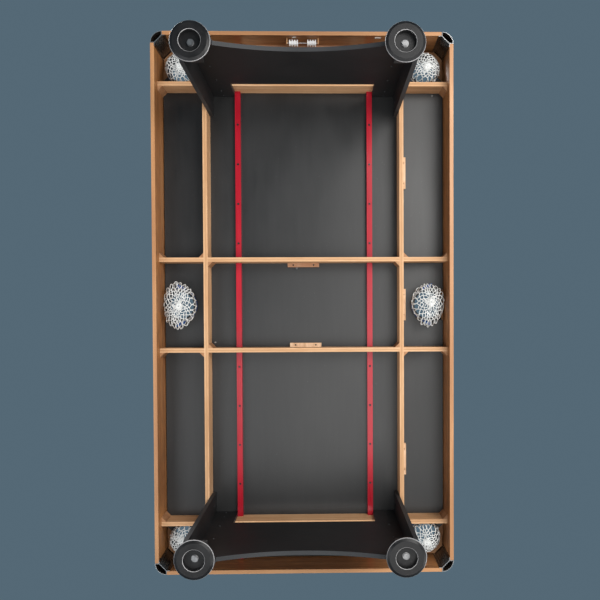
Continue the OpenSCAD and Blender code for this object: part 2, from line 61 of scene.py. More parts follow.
class Paint:
    """One material, with short calls that add nodes to it."""

    def __init__(self, name, **sockets):
        self.material = bpy.data.materials.new(name)
        self.material.use_nodes = True
        self.tree = self.material.node_tree
        self.shader = self.tree.nodes["Principled BSDF"]
        for socket, value in sockets.items():
            self.shader.inputs[socket.replace("_", " ")].default_value = value
        self.coords = self.tree.nodes.new("ShaderNodeTexCoord")

    def join(self, source, target):
        self.tree.links.new(source, target)

    def noise(self, scale, stretch=(1, 1, 1), detail=4, rough=0.55, distortion=0):
        mapping = self.tree.nodes.new("ShaderNodeMapping")
        mapping.inputs["Scale"].default_value = stretch
        self.join(self.coords.outputs["Object"], mapping.inputs["Vector"])
        node = self.tree.nodes.new("ShaderNodeTexNoise")
        node.inputs["Scale"].default_value = scale
        node.inputs["Detail"].default_value = detail
        node.inputs["Roughness"].default_value = rough
        node.inputs["Distortion"].default_value = distortion
        self.join(mapping.outputs["Vector"], node.inputs["Vector"])
        return node.outputs["Fac"]

    def axis(self, name, letter):
        """One part of the Object or Normal coordinate."""
        split = self.tree.nodes.new("ShaderNodeSeparateXYZ")
        self.join(self.coords.outputs[name], split.inputs["Vector"])
        return split.outputs[letter]

    def math(self, operation, a, b=0.0):
        node = self.tree.nodes.new("ShaderNodeMath")
        node.operation = operation
        for value, socket in ((a, node.inputs[0]), (b, node.inputs[1])):
            if isinstance(value, (int, float)):
                socket.default_value = value
            else:
                self.join(value, socket)
        return node.outputs[0]

    def ramp(self, fac, stops):
        node = self.tree.nodes.new("ShaderNodeValToRGB")
        elements = node.color_ramp.elements
        while len(elements) < len(stops):
            elements.new(0.5)
        for element, (place, colour) in zip(elements, stops):
            element.position = place
            element.color = (*colour, 1)
        self.join(fac, node.inputs["Fac"])
        return node.outputs["Color"]

    def span(self, fac, low, high, start=0.0, end=1.0):
        """fac from low..high to start..end, clamped."""
        node = self.tree.nodes.new("ShaderNodeMapRange")
        for socket, value in zip(node.inputs[1:5], (low, high, start, end)):
            socket.default_value = value
        self.join(fac, node.inputs[0])
        return node.outputs[0]

    def mix(self, fac, a, b, blend="MIX"):
        node = self.tree.nodes.new("ShaderNodeMix")
        node.data_type = "RGBA"
        node.blend_type = blend
        for value, socket in ((fac, node.inputs[0]), (a, node.inputs[6]), (b, node.inputs[7])):
            if isinstance(value, (int, float)):
                socket.default_value = value
            elif isinstance(value, tuple):
                socket.default_value = (*value, 1)
            else:
                self.join(value, socket)
        return node.outputs[2]

    def bump(self, height, strength, distance=0.001):
        node = self.tree.nodes.new("ShaderNodeBump")
        node.inputs["Strength"].default_value = strength
        node.inputs["Distance"].default_value = distance
        self.join(height, node.inputs["Height"])
        if self.shader.inputs["Normal"].is_linked:
            self.join(self.shader.inputs["Normal"].links[0].from_socket, node.inputs["Normal"])
        self.join(node.outputs["Normal"], self.shader.inputs["Normal"])

    def colour(self, source):
        self.join(source, self.shader.inputs["Base Color"])

    def roughness(self, source):
        self.join(source, self.shader.inputs["Roughness"])


def stretch_along(axis, along, across):
    return tuple(along if i == axis else across for i in range(3))


def grain_stops(dark, mid, light):
    return [(0.25, dark), (0.5, mid), (0.78, light)]


def board_wood(name, axis):
    """Wood-effect foil on a board whose grain runs along the axis; its cut edges are paler."""
    p = Paint(name, Specular_IOR_Level=0.45)
    streaks = p.noise(1, stretch_along(axis, 1.6, 34), detail=5, rough=0.6, distortion=0.6)
    pores = p.noise(1, stretch_along(axis, 22, 620), detail=3)
    face = p.ramp(streaks, grain_stops((0.26, 0.100, 0.030), (0.42, 0.175, 0.055), (0.54, 0.26, 0.090)))
    face = p.mix(p.span(pores, 0.35, 0.62), (0.16, 0.068, 0.025), face)
    edge = p.ramp(streaks, grain_stops((0.29, 0.125, 0.048), (0.40, 0.190, 0.078), (0.51, 0.270, 0.120)))
    upright = p.math("ABSOLUTE", p.axis("Normal", "Z"))
    p.colour(p.mix(p.span(upright, 0.6, 0.9), face, edge))
    p.roughness(p.span(streaks, 0.3, 0.7, 0.52, 0.36))
    p.bump(pores, 0.25, 0.0002)
    return p.material


def beam_wood(name, axis, middle):
    """Raw jointed wood; middle is the beam's centre across its thickness, where a core line shows."""
    p = Paint(name, Roughness=0.6, Specular_IOR_Level=0.3)
    streaks = p.noise(1, stretch_along(axis, 2.2, 46), detail=6, rough=0.62, distortion=0.8)
    fibres = p.noise(1, stretch_along(axis, 30, 900), detail=2)
    blotch = p.noise(9, detail=3)
    wood = p.ramp(streaks, grain_stops((0.40, 0.21, 0.10), (0.60, 0.36, 0.19), (0.76, 0.52, 0.32)))
    wood = p.mix(p.span(blotch, 0.35, 0.7, 0.0, 0.35), wood, (0.50, 0.27, 0.13))
    wood = p.mix(p.span(fibres, 0.42, 0.58), p.mix(0.3, wood, (0.36, 0.18, 0.08)), wood)
    place = p.math("ABSOLUTE", p.axis("Object", "Y" if axis == 0 else "X"))
    from_middle = p.math("ABSOLUTE", p.math("SUBTRACT", place, middle))
    down = p.span(p.math("ABSOLUTE", p.axis("Normal", "Z")), 0.8, 0.95)
    core = p.math("MULTIPLY", p.span(from_middle, 0.0016, 0.0042, 0.45, 0.0), down)
    p.colour(p.mix(core, wood, (0.34, 0.17, 0.075)))
    p.bump(streaks, 0.2, 0.0004)
    p.bump(fibres, 0.3, 0.00015)
    return p.material


def small_wood(name, tones, front_tone=None):
    """Small raw wood pieces, grain as cut; front_tone colours the one on the front middle beam."""
    p = Paint(name, Roughness=0.62, Specular_IOR_Level=0.3)
    streaks = p.noise(1, (60, 14, 30), detail=5, rough=0.6, distortion=0.5)
    wood = p.ramp(streaks, grain_stops(*tones))
    if front_tone:
        near_middle = p.span(p.math("ABSOLUTE", p.axis("Object", "X")), 0.15, 0.20, 1.0, 0.0)
        front = p.span(p.axis("Object", "Y"), -0.02, 0.02, 0.75, 0.0)
        wood = p.mix(p.math("MULTIPLY", near_middle, front), wood, front_tone)
    p.colour(wood)
    p.bump(streaks, 0.3, 0.0003)
    return p.material


def black_board(name, across):
    """Black melamine with a fine pearl texture; its banded edges carry a painted highlight: they are
    painted paler, whatever way they turn.
    """
    p = Paint(name, Specular_IOR_Level=0.35)
    pearl = p.noise(900, detail=2)
    haze = p.noise(5, detail=5)
    specks = p.noise(260, detail=1)
    face = p.ramp(haze, [(0.3, (0.0085, 0.0085, 0.0090)), (0.7, (0.0130, 0.0130, 0.0136))])
    dusty = p.mix(p.span(specks, 0.76, 0.80, 0.0, 0.6), face, (0.09, 0.09, 0.095))
    # Painted highlight: the edge tone is a paler grey-blue than the faces.
    edge = p.ramp(haze, [(0.3, (0.020, 0.021, 0.023)), (0.7, (0.033, 0.035, 0.038))])
    faced = p.math("ABSOLUTE", p.axis("Normal", across))
    p.colour(p.mix(p.span(faced, 0.4, 0.7, 1.0, 0.0), dusty, edge))
    p.roughness(p.span(haze, 0.3, 0.7, 0.5, 0.62))
    p.bump(pearl, 0.35, 0.0001)
    return p.material


def bed_board():
    """Dark laminate of the bed's underside, with soft streaks, dust and rubbed patches."""
    p = Paint("bed_board", Specular_IOR_Level=0.5)
    haze = p.noise(3.2, (1.6, 0.8, 1), detail=6, rough=0.6)
    streaks = p.noise(1, (70, 5, 1), detail=4)
    pearl = p.noise(700, detail=2)
    specks = p.noise(190, detail=1)
    base = p.ramp(haze, [(0.3, (0.0085, 0.0087, 0.0090)), (0.72, (0.0155, 0.0158, 0.0165))])
    base = p.mix(p.span(streaks, 0.4, 0.75, 0.0, 0.25), base, (0.024, 0.024, 0.025))
    p.colour(p.mix(p.span(specks, 0.77, 0.80, 0.0, 0.5), base, (0.12, 0.12, 0.125)))
    p.roughness(p.span(haze, 0.3, 0.75, 0.36, 0.46))
    p.bump(pearl, 0.3, 0.0001)
    return p.material


def post_metal():
    """Dark anodised profile whose sawn lower end is bare aluminium."""
    p = Paint("post_metal", Metallic=0.85, Anisotropic=0.3)
    drawn = p.noise(1, (700, 700, 4), detail=2)
    haze = p.noise(24, detail=4)
    coat = p.ramp(haze, [(0.3, (0.075, 0.058, 0.046)), (0.7, (0.150, 0.118, 0.094))])
    bare = p.ramp(p.noise(1500, detail=2), [(0.3, (0.36, 0.36, 0.36)), (0.7, (0.58, 0.58, 0.57))])
    cut = p.span(p.axis("Normal", "Z"), -0.95, -0.85, 1.0, 0.0)
    p.colour(p.mix(cut, coat, bare))
    p.roughness(p.span(drawn, 0.3, 0.7, 0.18, 0.32))
    p.bump(drawn, 0.15, 0.0001)
    return p.material


def moulded(name, dark, light, rough, grain=650, gloss=0.4):
    """Moulded plastic with a fine spark-eroded grain."""
    p = Paint(name, Specular_IOR_Level=gloss)
    texture = p.noise(grain, detail=2)
    haze = p.noise(12, detail=4)
    p.colour(p.ramp(haze, [(0.3, dark), (0.7, light)]))
    p.roughness(p.span(haze, 0.3, 0.7, rough - 0.06, rough + 0.06))
    p.bump(texture, 0.3, 0.00015)
    return p.material


# Downward tilt of the foot disc's two edges that are painted pale as a painted highlight: round its
# recess and round its rim
LIP_SLOPE = 0.707
RIM_SLOPE = 0.447


def foot_plastic():
    """Black moulded disc: grain, a painted highlight on two edges and a little dust."""
    p = Paint("foot_plastic", Specular_IOR_Level=0.28)
    texture = p.noise(800, detail=2)
    haze = p.noise(22, detail=5)
    dust = p.noise(160, detail=2)
    base = p.ramp(haze, [(0.3, (0.0065, 0.0065, 0.007)), (0.7, (0.013, 0.013, 0.014))])
    # Painted highlight: the bevels round the recess and round the rim are painted pale grey.
    for slope in (LIP_SLOPE, RIM_SLOPE):
        away = p.math("ABSOLUTE", p.math("ADD", p.axis("Normal", "Z"), slope))
        base = p.mix(p.span(away, 0.06, 0.10, 0.9, 0.0), base, (0.42, 0.42, 0.43))
    p.colour(p.mix(p.span(dust, 0.62, 0.78, 0.0, 0.3), base, (0.07, 0.07, 0.073)))
    p.roughness(p.span(haze, 0.3, 0.7, 0.34, 0.5))
    p.bump(texture, 0.35, 0.00015)
    return p.material


def plated(name, dark, light, rough):
    """Plated or bright steel with fine scratches."""
    p = Paint(name, Metallic=1.0)
    scratches = p.noise(1, (1400, 260, 1400), detail=3)
    haze = p.noise(90, detail=4)
    p.colour(p.ramp(haze, [(0.3, dark), (0.7, light)]))
    p.roughness(p.span(scratches, 0.3, 0.7, rough - 0.08, rough + 0.1))
    p.bump(scratches, 0.2, 0.0001)
    return p.material


def channel_paint():
    """Glossy red powder coat with orange peel and slightly duller runs."""
    p = Paint("channel_paint", Coat_Weight=0.25, Coat_Roughness=0.15, Specular_IOR_Level=0.3)
    peel = p.noise(420, detail=2)
    haze = p.noise(1, (30, 3, 30), detail=4)
    p.colour(p.ramp(haze, [(0.3, (0.29, 0.0015, 0.011)), (0.7, (0.40, 0.0035, 0.018))]))
    p.roughness(p.span(haze, 0.3, 0.7, 0.26, 0.4))
    p.bump(peel, 0.15, 0.0002)
    return p.material


def table_cloth(name):
    """Blue worsted cloth: crossed yarns, a fine nap and a little shade between them."""
    p = Paint(name, Roughness=0.85, Sheen_Weight=0.35, Sheen_Roughness=0.45, Specular_IOR_Level=0.15)
    p.shader.inputs["Sheen Tint"].default_value = (0.35, 0.55, 0.85, 1)
    warp = p.noise(1, (1100, 60, 1100), detail=2)
    weft = p.noise(1, (60, 1100, 1100), detail=2)
    weave = p.math("MULTIPLY", warp, weft)
    nap = p.noise(38, detail=5, rough=0.65)
    blue = p.ramp(nap, [(0.3, (0.008, 0.070, 0.30)), (0.7, (0.016, 0.115, 0.42))])
    p.colour(p.mix(p.span(weave, 0.16, 0.34, 0.45, 0.0), blue, (0.004, 0.035, 0.17)))
    p.bump(weave, 0.5, 0.0003)
    p.bump(nap, 0.15, 0.0004)
    return p.material


def net_cord():
    """White laid cord: soft cotton fibres, slightly soiled in places."""
    p = Paint("net_cord", Roughness=0.8, Sheen_Weight=0.3, Specular_IOR_Level=0.2)
    fibres = p.noise(1600, detail=3)
    soil = p.noise(26, detail=4)
    white = p.ramp(fibres, [(0.3, (0.57, 0.58, 0.57)), (0.7, (0.80, 0.81, 0.80))])
    p.colour(p.mix(p.span(soil, 0.45, 0.75, 0.0, 0.4), white, (0.40, 0.43, 0.43)))
    p.bump(fibres, 0.4, 0.0003)
    return p.material


def paper():
    """Plain white paper tag."""
    p = Paint("paper", Roughness=0.6)
    fibre = p.noise(500, detail=4)
    p.colour(p.ramp(fibre, [(0.3, (0.74, 0.72, 0.68)), (0.7, (0.88, 0.87, 0.84))]))
    p.bump(fibre, 0.2, 0.0002)
    return p.material


# Half of the counter wire's length between its lugs
WIRE_HALF = 0.060


def counter_finish():
    """Tan moulded lugs and, between them, a bright steel wire."""
    p = Paint("counter_finish", Roughness=0.38)
    grain = p.noise(420, detail=3)
    tan = p.ramp(grain, [(0.3, (0.42, 0.22, 0.10)), (0.7, (0.60, 0.36, 0.18))])
    steel_grey = p.ramp(grain, [(0.3, (0.62, 0.62, 0.62)), (0.7, (0.86, 0.86, 0.86))])
    off_middle = p.math("ABSOLUTE", p.axis("Object", "X"))
    lug = p.span(off_middle, WIRE_HALF - 0.0005, WIRE_HALF, 0.0, 1.0)
    p.colour(p.mix(lug, steel_grey, tan))
    p.join(p.math("SUBTRACT", 1.0, lug), p.shader.inputs["Metallic"])
    p.bump(grain, 0.2, 0.0001)
    return p.material


BEAM_MIDDLES = {"long_beam": 0.3945, "mid_beam": 0.1825, "end_beam": 0.8845}
BOARD_ALONG = {"front": 0, "back": 0, "left": 1, "right": 1}
boards = [board_wood("board_wood_x", 0), board_wood("board_wood_y", 1)]
beams = {
    kind: beam_wood("raw_" + kind, 1 if kind == "long_beam" else 0, middle)
    for kind, middle in BEAM_MIDDLES.items()
}
cloth = table_cloth("table_cloth")
cord_white = net_cord()
steel = plated("screw_steel", (0.15, 0.15, 0.155), (0.30, 0.30, 0.30), 0.42)
finishes = {
    "bed_panel": bed_board(),
    "corner_post": post_metal(),
    "corner_casting": moulded("casting_plastic", (0.010, 0.010, 0.011), (0.020, 0.020, 0.021), 0.45),
    "channel": channel_paint(),
    "beam_cleats": small_wood(
        "cleat_wood", ((0.46, 0.27, 0.15), (0.68, 0.45, 0.28), (0.82, 0.62, 0.44)), (0.30, 0.12, 0.055)
    ),
    "gusset_blocks": small_wood(
        "gusset_wood", ((0.22, 0.10, 0.042), (0.34, 0.17, 0.080), (0.46, 0.26, 0.135))
    ),
    "frame_screws": plated("frame_screw_steel", (0.020, 0.020, 0.021), (0.070, 0.070, 0.073), 0.4),
    "end_frame": black_board("black_board_frame", "Y"),
    "leg_returns": black_board("black_board_return", "X"),
    "leg_blocks": moulded("block_black", (0.010, 0.010, 0.010), (0.018, 0.018, 0.019), 0.6),
    "leg_inserts": plated("zinc", (0.50, 0.50, 0.52), (0.74, 0.74, 0.75), 0.35),
    "foot_screw": steel,
    "foot_disc": foot_plastic(),
    "counter_wire": counter_finish(),
    "counter_spool": moulded("spool_plastic", (0.80, 0.80, 0.80), (0.93, 0.93, 0.93), 0.32, 300, 0.5),
}
SAME_AS = {
    "side_casting": "corner_casting",
}


def finish_of(name):
    """The material of a node, from its name less its place words."""
    kind = name
    for ending in ("_front", "_back", "_left", "_right"):
        kind = kind.replace(ending, "")
    if kind in ("apron", "top_rail"):
        return boards[BOARD_ALONG[name.rsplit("_", 1)[1]]]
    if kind in beams:
        return beams[kind]
    return finishes.get(SAME_AS.get(kind, kind))


for name, node in nodes.items():
    finish = finish_of(name)
    if finish is not None:
        node.data.materials.clear()
        node.data.materials.append(finish)


# ---- meshes ----


def add_piece(name, vertices, faces, material, body="table", smooth=True):
    mesh = bpy.data.meshes.new(name)
    mesh.from_pydata([tuple(v) for v in vertices], [], faces)
    mesh.materials.append(material)
    mesh.validate()
    if smooth:
        mesh.shade_smooth()
    piece = bpy.data.objects.new(name, mesh)
    bpy.context.scene.collection.objects.link(piece)
    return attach(piece, body)


class Cordage:
    """Vertices and faces of many cords and knots in one mesh."""

    PITCH = 0.0075
    STEP = 0.0018
    SIDES = 8

    def __init__(self, radius):
        self.radius = radius
        self.vertices = []
        self.faces = []

    def add(self, points, radius=None):
        """A two-strand laid cord through the points."""
        radius = radius or self.radius
        points = np.array(points, float)
        lengths = np.linalg.norm(np.diff(points, axis=0), axis=1)
        along = np.concatenate([[0], np.cumsum(lengths)])
        count = max(3, int(along[-1] / self.STEP) + 1)
        places = np.linspace(0, along[-1], count)
        line = np.stack([np.interp(places, along, points[:, i]) for i in range(3)], axis=1)
        ahead = np.gradient(line, axis=0)
        ahead /= np.linalg.norm(ahead, axis=1)[:, None] + 1e-12
        up = np.where(np.abs(ahead[:, 2:3]) > 0.9, [[1.0, 0, 0]], [[0, 0, 1.0]])
        across = np.cross(ahead, up)
        across /= np.linalg.norm(across, axis=1)[:, None]
        above = np.cross(across, ahead)
        angles = np.arange(self.SIDES) * 2 * math.pi / self.SIDES
        turns = angles[None, :] - 2 * math.pi * places[:, None] / self.PITCH
        reach = radius * (0.86 + 0.14 * np.cos(2 * turns))
        rings = (
            line[:, None, :]
            + (reach * np.cos(angles))[:, :, None] * across[:, None, :]
            + (reach * np.sin(angles))[:, :, None] * above[:, None, :]
        )
        base = len(self.vertices)
        self.vertices.extend(rings.reshape(-1, 3).tolist())
        for i in range(count - 1):
            for j in range(self.SIDES):
                k = (j + 1) % self.SIDES
                a = base + i * self.SIDES
                b = a + self.SIDES
                self.faces.append((a + j, a + k, b + k, b + j))
        last = base + (count - 1) * self.SIDES
        self.faces.append(tuple(base + j for j in reversed(range(self.SIDES))))
        self.faces.append(tuple(last + j for j in range(self.SIDES)))

    def knot(self, centre, size):
        """A small turned knot: one tight loop round the crossing."""
        turn = random.uniform(0, math.pi)
        points = []
        for i in range(9):
            a = turn + i * 2 * math.pi / 8
            points.append((
                centre[0] + size * math.cos(a),
                centre[1] + size * math.sin(a),
                centre[2] + 0.35 * size * math.sin(2 * a + turn),
            ))
        self.add(points, self.radius * 0.95)


# ---- pocket nets ----

# noise_vector takes its offsets from the clock unless a seed is set
noise.seed_set(7)

CORNER = (0.496, 0.970)
SIDE = (0.512, 0.0)
RING_R = 0.065
NET_TOP = 0.7025
NET_LOW = 0.5935
CORD_R = 0.00185
RING_CORD_R = 0.0021
CORNER_CELLS = 17
SIDE_CELLS = 22
LOOSE_ENDS = 22
ROWS = (1.0, 0.84, 0.70, 0.56, 0.43)


def bag_depth(share):
    """Depth share of the bag's underside where its width is that share."""
    return 0.5 + 0.5 * math.sqrt(max(0.0, 1 - min(share, 1) ** 2))


class Net:
    """A bag of diamond mesh under a pocket, gathered in a knot at the bottom."""

    def __init__(self, name, centre, half, belly, cells, seed):
        random.seed(seed)
        self.centre, self.half, self.belly, self.cells = centre, half, belly, cells
        self.seed = Vector((seed * 3.7, seed * 1.3, seed * 0.7))
        self.gather = (random.uniform(-0.006, 0.006), random.uniform(-0.012, 0.012))
        self.fold = random.uniform(0, 2 * math.pi)
        self.cords = Cordage(CORD_R)
        self.weave()
        self.hang()
        self.gathered()
        piece = add_piece(name + "_cords", self.cords.vertices, self.cords.faces, cord_white)
        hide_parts(name)

    def at(self, share, turn, lift=0.0):
        """The point at that share of the bag's width; turn counts cells round it."""
        angle = 2 * math.pi * turn / self.cells
        angle += 0.10 * math.sin(2 * angle + self.fold) + 0.05 * math.sin(5 * angle - self.fold)
        wave = 1 - 0.045 * (1 + math.sin(3 * angle + self.fold)) * min(1, 1.4 * share)
        x = self.half[0] * share * wave * math.cos(angle)
        y = self.half[1] * share * wave * math.sin(angle)
        x += (1 - share) * self.gather[0] + self.belly[0]
        y += (1 - share) * self.gather[1] + self.belly[1]
        z = NET_TOP - (NET_TOP - NET_LOW) * bag_depth(share) + lift
        ripple = noise.noise_vector(Vector((x, y, z)) * 55 + self.seed)
        limit = 0.0042 * min(1, 2 * share)
        z += 0.006 * (1 - share) * (1 + ripple.z) * (share > 0.1)
        return (
            self.centre[0] + x + limit * ripple.x,
            self.centre[1] + y + limit * ripple.y,
            max(NET_LOW, z + 0.003 * ripple.z),
        )

    def strand(self, start, end, bow=0.0, steps=10):
        """Points between two lattice places (share, turn), bowed outwards."""
        points = []
        for i in range(steps + 1):
            t = i / steps
            s = t * t * (3 - 2 * t)
            share = start[0] + (end[0] - start[0]) * t + bow * math.sin(math.pi * t)
            points.append(self.at(share, start[1] + (end[1] - start[1]) * (0.4 * t + 0.6 * s)))
        return points

    def weave(self):
        """Scalloped outer loops, then knotted diamonds row by row."""
        for k in range(self.cells):
            reach = random.uniform(0.17, 0.24)
            self.cords.add(self.strand((ROWS[1] - 0.01, k), (ROWS[1] - 0.01, k + 1), reach, 14))
        for row in range(1, len(ROWS) - 1):
            shift = 0.5 * ((row - 1) % 2)
            for k in range(self.cells):
                start = (ROWS[row], k + shift)
                for way in SIDES:
                    turn = k + shift + way * 0.5
                    self.cords.add(self.strand(start, (ROWS[row + 1], turn)))
                if row < 3:
                    self.cords.knot(self.at(*start), 0.0013)

    def hang(self):
        """Strands from the outer row up to the pocket ring, and the cord round the ring."""
        rim = []
        for k in range(self.cells * 3 + 1):
            angle = 2 * math.pi * k / (self.cells * 3)
            rim.append((
                self.centre[0] + RING_R * math.cos(angle),
                self.centre[1] + RING_R * math.sin(angle),
                NET_TOP - 0.004 + 0.0012 * math.sin(9 * angle),
            ))
        self.cords.add(rim, RING_CORD_R)
        for k in range(self.cells):
            low = Vector(self.at(ROWS[0] + 0.02, k + 0.5))
            high = Vector(rim[3 * k])
            points = []
            for i in range(9):
                t = i / 8
                out = 0.05 * math.sin(math.pi * t)
                flat = low.lerp(high, t)
                middle = Vector((*self.centre, flat.z))
                points.append(flat + (flat - middle) * out)
            self.cords.add(points)

    def gathered(self):
        """The close folds round the middle, the whipping and the cut ends."""
        count = self.cells
        for k in range(count):
            turn = k + random.uniform(-0.2, 0.2)
            lean = random.uniform(-0.9, 0.9)
            drop = random.uniform(-0.004, 0.0055)
            points = []
            for i in range(15):
                t = i / 14
                share = ROWS[-1] * (1 - t) + 0.05 * t + 0.02 * math.sin(5 * t + k)
                sway = lean * t * t + 0.35 * math.sin(3 * math.pi * t + k * 1.7)
                points.append(self.at(share, turn + sway, -drop * math.sin(math.pi * t)))
            self.cords.add(points)
        middle = Vector(self.at(0.02, 0))
        for i in range(4):
            self.turn_of_whipping(middle, 0.0065 + 0.0022 * i, 0.0018 * i)
        for k in range(LOOSE_ENDS):
            self.loose_end(middle)

    def turn_of_whipping(self, middle, radius, lift):
        points = []
        for i in range(25):
            a = i * 2 * math.pi / 24
            r = radius * (1 + 0.12 * math.sin(2 * a + self.fold))
            points.append((
                middle.x + r * math.cos(a),
                middle.y + r * math.sin(a),
                max(NET_LOW, middle.z + lift + 0.001 * math.sin(3 * a)),
            ))
        self.cords.add(points)

    def loose_end(self, middle):
        angle = random.uniform(0, 2 * math.pi)
        curl = random.uniform(-1.6, 1.6)
        length = random.uniform(0.010, 0.027)
        points = []
        for i in range(9):
            t = i / 8
            a = angle + curl * t * t
            r = 0.002 + length * t
            low = -0.002 + 0.010 * t * t
            z = max(NET_LOW, middle.z + low)
            points.append((middle.x + r * math.cos(a), middle.y + r * math.sin(a), z))
        self.cords.add(points)


def quarter_name(sx, sy):
    return ("front" if sy < 0 else "back") + "_" + ("left" if sx < 0 else "right")


for sx in SIDES:
    for sy in SIDES:
        Net(
            "corner_net_" + quarter_name(sx, sy),
            (sx * CORNER[0], sy * CORNER[1]),
            (0.058, 0.060),
            (-0.002 * sx, -0.015 * sy),
            CORNER_CELLS,
            5 + 2 * sx + sy,
        )
    Net(
        "side_net_" + ("left" if sx < 0 else "right"),
        (sx * SIDE[0], SIDE[1]),
        (0.065, 0.092 - 0.004 * sx),
        (-0.006 * sx, 0),
        SIDE_CELLS,
        21 + sx,
    )


# ---- cushions: cloth-covered rubber profiles ----

RAIL_BACK = 0.075
SECTION = [
    (0.045, 0.7700), (0.045, 0.7765), (0.035, 0.7815), (0.008, 0.7862), (0.0005, 0.7842),
    (0.0005, 0.7407), (0.0120, 0.7407),
]


def rounded(points, rounds=3, share=0.22):
    """Closed outline with its corners cut again and again until they are round."""
    for _ in range(rounds):
        cut = []
        for i, a in enumerate(points):
            b = points[(i + 1) % len(points)]
            cut.append(tuple(p + (q - p) * share for p, q in zip(a, b)))
            cut.append(tuple(q + (p - q) * share for p, q in zip(a, b)))
        points = cut
    return points


def cushion(name, start, end, place):
    """A cushion along its rail. start and end give its ends at a depth from the rail's face."""
    outline = rounded(SECTION)
    middle = np.mean(np.array(outline), axis=0)
    length = end(0) - start(0)
    count = int(length / 0.02)
    inner = [0.006 + (1 - 0.012) * i / count for i in range(count + 1)]
    tucks = [(0.0, 0.90), (0.001, 0.95), (0.0028, 0.985)]
    rings = tucks + [(t, 1.0) for t in inner]
    rings += [(1 - t, size) for t, size in reversed(tucks)]
    vertices, faces = [], []
    for t, size in rings:
        for d, z in outline:
            d2 = middle[0] + (d - middle[0]) * size
            z2 = middle[1] + (z - middle[1]) * size
            along = start(d2) + (end(d2) - start(d2)) * t
            swell = 0.0004 * noise.noise(Vector((along * 9, d * 60, z * 60)))
            if d2 > 0.004:
                d2 -= 0.0004 - swell
            vertices.append(place(along, d2, z2))
    n = len(outline)
    for i in range(len(rings) - 1):
        for j in range(n):
            k = (j + 1) % n
            faces.append((i * n + j, i * n + k, (i + 1) * n + k, (i + 1) * n + j))
    faces.append(tuple(range(n))[::-1])
    faces.append(tuple((len(rings) - 1) * n + j for j in range(n)))
    piece = add_piece(name + "_cover", vertices, faces, cloth)
    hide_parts(name)


half_w, half_l = cad_box[1].x, cad_box[1].y
rail_x, rail_y = half_w - RAIL_BACK, half_l - RAIL_BACK
END_REACH = 0.43715
SIDE_REACH = 0.90915
MIDDLE_GAP = 0.065

for sy in SIDES:
    cushion(
        "cushion_" + ("front" if sy < 0 else "back"),
        lambda d: -END_REACH + d,
        lambda d: END_REACH - d,
        lambda along, d, z, sy=sy: (along, sy * (rail_y - d), z),
    )
    for sx in SIDES:
        cushion(
            "cushion_" + quarter_name(sx, sy),
            lambda d: MIDDLE_GAP + math.tan(math.radians(10)) * d,
            lambda d: SIDE_REACH - d,
            lambda along, d, z, sx=sx, sy=sy: (sx * (rail_x - d), sy * along, z),
        )


# ---- bed cloth: stretched over the bed, turned down the pocket notches and folded under it ----

BED_LOW = 0.718
HOLE_R = 0.0652
BOARD_T = 0.015
CLOTH_EDGE = 0.003
CORNER_CUT = 0.130
NOTCH = 0.0635
ARC_STEPS = 44
FLAP_LOW = BED_LOW - 0.0007
CLOTH_FACE = 0.7372
cloth_x = half_w - BOARD_T - CLOTH_EDGE
cloth_y = half_l - BOARD_T - CLOTH_EDGE


def pocket_arc(centre, start, stop):
    """Cloth edge round a pocket, from one angle to another in degrees."""
    angles = np.radians(np.linspace(start, stop, ARC_STEPS + 1))
    return [Vector((centre[0] + HOLE_R * math.cos(a), centre[1] + HOLE_R * math.sin(a))) for a in angles]


def cloth_quarter():
    """One quarter's edge, from the side pocket to the end rail, and its two pocket arcs."""
    side = pocket_arc(SIDE, 180, math.degrees(math.asin(NOTCH / HOLE_R)))
    cut = (cloth_x + cloth_y - CORNER_CUT - sum(CORNER)) / math.sqrt(2)
    opening = math.degrees(math.acos(cut / HOLE_R))
    corner = pocket_arc(CORNER, 45 - opening, 45 + opening - 360)
    edge = side + [Vector((cloth_x, NOTCH)), Vector((cloth_x, cloth_y - CORNER_CUT))]
    edge += corner + [Vector((cloth_x - CORNER_CUT, cloth_y))]
    return edge, side, corner


def side_flap(t):
    """Width of the turned-under cloth at a side pocket, widest by the apron."""
    return 0.002 + 0.001 * math.sin(19 * t) + 0.024 * max(0, (t - 0.72) / 0.28) ** 0.6


def corner_flap(t):
    """Width of the turned-under cloth at a corner pocket, widest by the end beam."""
    return 0.002 + 0.001 * math.sin(31 * t) + 0.008 * math.exp(-(((t - 0.33) / 0.12) ** 2))


def add_hem(mesh, edge, centre, width):
    """Cloth turned down one pocket arc and folded under the bed."""
    rows = []
    for inset, z in ((0, CLOTH_FACE), (0.0006, CLOTH_FACE - 0.0015),
                     (0.0014, BED_LOW + 0.002), (0.0016, FLAP_LOW)):
        rows.append([(p - (p - centre).normalized() * inset, z) for p in edge])
    for share in (0.4, 0.75, 1.0):
        row = []
        for i, p in enumerate(edge):
            t = i / ARC_STEPS
            sag = 0.0008 * share * (1 + math.sin(23 * t))
            row.append((p + (p - centre).normalized() * width(t) * share, FLAP_LOW - sag))
        rows.append(row)
    grid = [[mesh.verts.new((*p, z)) for p, z in row] for row in rows]
    for upper, lower in zip(grid, grid[1:]):
        for i in range(ARC_STEPS):
            mesh.faces.new((upper[i], lower[i], lower[i + 1], upper[i + 1]))


def flat_cloth(mesh, outline):
    """The stretched top, as triangles over the outline and a grid inside it."""
    points = [Vector(p) for p in outline]
    pockets = [Vector((sx * SIDE[0], 0)) for sx in SIDES]
    pockets += [Vector((sx * CORNER[0], sy * CORNER[1])) for sx in SIDES for sy in SIDES]
    for i in range(-13, 14):
        for j in range(-24, 25):
            p = Vector((i * cloth_x / 14, j * cloth_y / 25))
            if abs(p.x) + abs(p.y) < cloth_x + cloth_y - CORNER_CUT - 0.02:
                if all((p - c).length > HOLE_R + 0.012 for c in pockets):
                    points.append(p)
    face = list(range(len(outline)))
    flat, _, triangles, _, _, _ = delaunay_2d_cdt(points, [], [face], 1, 1e-6)
    top = [mesh.verts.new((*p, CLOTH_FACE)) for p in flat]
    for triangle in triangles:
        mesh.faces.new([top[i] for i in triangle])


